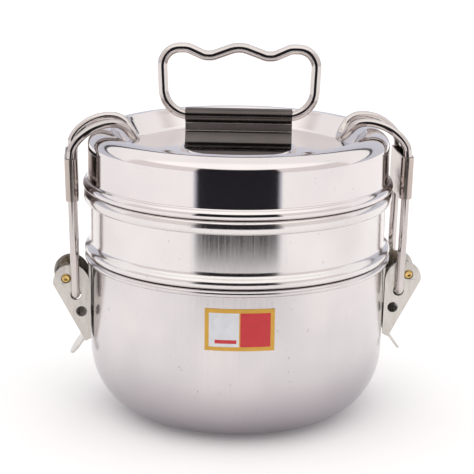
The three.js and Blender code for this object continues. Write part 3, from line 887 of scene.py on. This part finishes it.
def make_label():
    """A foil sticker with two printed halves and no lettering."""
    inner = POT_RADIUS + 0.06
    outer = inner + 0.22
    middle_x = (LABEL_LOW[0] + LABEL_HIGH[0]) / 2
    direction = math.atan2(LABEL_LOW[1], middle_x)
    low, high = LABEL_LOW[2], LABEL_HIGH[2]
    half_angle = LABEL_HALF_WIDTH / POT_RADIUS
    edge = LABEL_BORDER / POT_RADIUS
    foil = curved_plate("label_foil", inner, outer, direction - half_angle, direction + half_angle,
                        low, high)
    ease_edges(foil, 0.05)
    place(foil, "pot", "label", GOLD_FOIL, "front_label")
    proud = outer + 0.06
    bottom = low + LABEL_BORDER
    halves = (("label_left_print", PALE_PRINT, -half_angle + edge, -LABEL_SPLIT),
              ("label_right_print", RED_PRINT, LABEL_SPLIT, half_angle - edge))
    for name, material, start, end in halves:
        panel = curved_plate(name, outer - 0.02, proud, direction + start, direction + end,
                             bottom, high - LABEL_BORDER)
        place(panel, "pot", "label", material)
    stripe_start = direction - half_angle + edge * 2.4
    stripe_end = direction - LABEL_SPLIT * 5
    stripe = curved_plate("label_stripe", proud - 0.02, proud + 0.04, stripe_start, stripe_end,
                          bottom + STRIPE_LOW, bottom + STRIPE_HIGH)
    place(stripe, "pot", "label", RED_PRINT)


make_pot()
make_upper_container()
make_lid()
make_bracket()
make_bend_highlights()
make_handle()
for side, angle in (("right", 0), ("left", math.pi)):
    make_hinge_base(side, angle)
    make_pin(side, angle)
    make_lever(side, angle)
    make_bail(side, angle)
    make_sleeve(side, angle)
make_label()

# ---------- studio ----------
DARK_HALF_ANGLE = 31          # degrees to each side of the camera's direction
DARK_TOP = 35                 # degrees above the horizon
DARK_EDGE = 2                 # degrees over which the dark room fades out
WHITE_FLOOR_REACH = 410       # millimetres from the carrier's axis towards the camera
FLOOR_RADIUS = 4000
FLOOR_LEVEL = -0.02
FLOOR_GLOW = 0.12             # lights the floor a little, as bounced light does
BAR_ELEVATION = (31, 36)      # dark bar in degrees between the back wall and the overhead panel
FRONT_PANEL = (36, 42)        # degrees where the front walls turn into the overhead panel
OVERHEAD = (80, 100)          # degrees from the back horizon, where back and front meet
DARK_ROOM = (0.02, 0.019, 0.024)
DARK_BAR = (0.03, 0.027, 0.03)
BACK_WALL = (0.72, 0.73, 0.81)
BACK_PANEL_LIGHT = (1.15, 1.13, 1.12)
FRONT_WALL = (0.93, 0.87, 0.85)
FRONT_PANEL_LIGHT = (1.35, 1.33, 1.3)


def make_world():
    """Bright all round, with a darker room behind the camera. The camera itself sees plain white."""
    world = bpy.data.worlds.new("studio")
    world.use_nodes = True
    bpy.context.scene.world = world
    nodes = Nodes(world.node_tree)
    away, right = camera_axes()
    ray = nodes.add("ShaderNodeTexCoord").outputs["Generated"]
    towards = nodes.dot(ray, away)
    sideways = nodes.dot(ray, right)
    up = nodes.add("ShaderNodeSeparateXYZ", {0: ray}).outputs["Z"]
    turn = nodes.math("ABSOLUTE", nodes.math("ARCTAN2", sideways, towards))
    rise = nodes.math("ARCSINE", up)
    edge = math.radians(DARK_EDGE)
    side_limit = math.radians(DARK_HALF_ANGLE)
    top_limit = math.radians(DARK_TOP)
    in_side = nodes.fade(turn, side_limit - edge, side_limit + edge, 1, 0)
    in_height = nodes.fade(rise, top_limit - edge * 2, top_limit + edge * 2, 1, 0)
    dark = nodes.math("MULTIPLY", in_side, in_height)
    over = nodes.math("ARCTAN2", up, nodes.math("MULTIPLY", towards, -1.0))
    bar_start, bar_end = (math.radians(angle) for angle in BAR_ELEVATION)
    soft = math.radians(1)
    above_bar = nodes.fade(over, bar_end - soft, bar_end)
    in_bar = nodes.math("SUBTRACT", nodes.fade(over, bar_start, bar_start + soft), above_bar, True)
    rear = nodes.blend(above_bar, opaque(*BACK_WALL), opaque(*BACK_PANEL_LIGHT))
    barred = nodes.blend(in_bar, rear, opaque(*DARK_BAR))
    panel = nodes.fade(rise, *(math.radians(angle) for angle in FRONT_PANEL))
    front = nodes.blend(panel, opaque(*FRONT_WALL), opaque(*FRONT_PANEL_LIGHT))
    in_front = nodes.fade(over, *(math.radians(angle) for angle in OVERHEAD))
    bright = nodes.blend(in_front, barred, front)
    room = nodes.blend(dark, bright, opaque(*DARK_ROOM))
    seen = nodes.add("ShaderNodeLightPath").outputs["Is Camera Ray"]
    colour = nodes.blend(seen, room, opaque(1, 1, 1))
    background = nodes.add("ShaderNodeBackground", {"Color": colour, "Strength": 1.0})
    nodes.add("ShaderNodeOutputWorld", {"Surface": background.outputs["Background"]})


def make_floor():
    """A white disc with its far front sector cut away, where the dark room begins."""
    points = [(0, 0, FLOOR_LEVEL)]
    sides = 144
    for i in range(sides):
        turn = 2 * math.pi * i / sides
        off_camera = abs(math.remainder(turn - CAMERA_AZIMUTH, 2 * math.pi))
        radius = WHITE_FLOOR_REACH if off_camera < math.radians(DARK_HALF_ANGLE) else FLOOR_RADIUS
        points.append((radius * math.cos(turn), radius * math.sin(turn), FLOOR_LEVEL))
    faces = [(0, 1 + i, 1 + (i + 1) % sides) for i in range(sides)]
    floor = mesh_from("floor", points, faces)
    material = bpy.data.materials.new("floor_white")
    material.use_nodes = True
    nodes = Nodes(material.node_tree)
    spot = nodes.add("ShaderNodeTexCoord").outputs["Object"]
    mottle = nodes.fade(nodes.noise(spot, 6, 2), 0.3, 0.7)
    colour = nodes.blend(mottle, opaque(0.99, 0.985, 0.99), opaque(0.98, 0.975, 0.98))
    lit = nodes.add("ShaderNodeBsdfDiffuse", {"Color": colour}).outputs["BSDF"]
    glow = nodes.add("ShaderNodeEmission", {"Color": colour, "Strength": FLOOR_GLOW}).outputs["Emission"]
    surface = nodes.add("ShaderNodeAddShader", {0: lit, 1: glow}).outputs["Shader"]
    nodes.add("ShaderNodeOutputMaterial", {"Surface": surface})
    floor.data.materials.append(material)


make_world()
make_floor()
bpy.context.scene.view_settings.view_transform = "Standard"
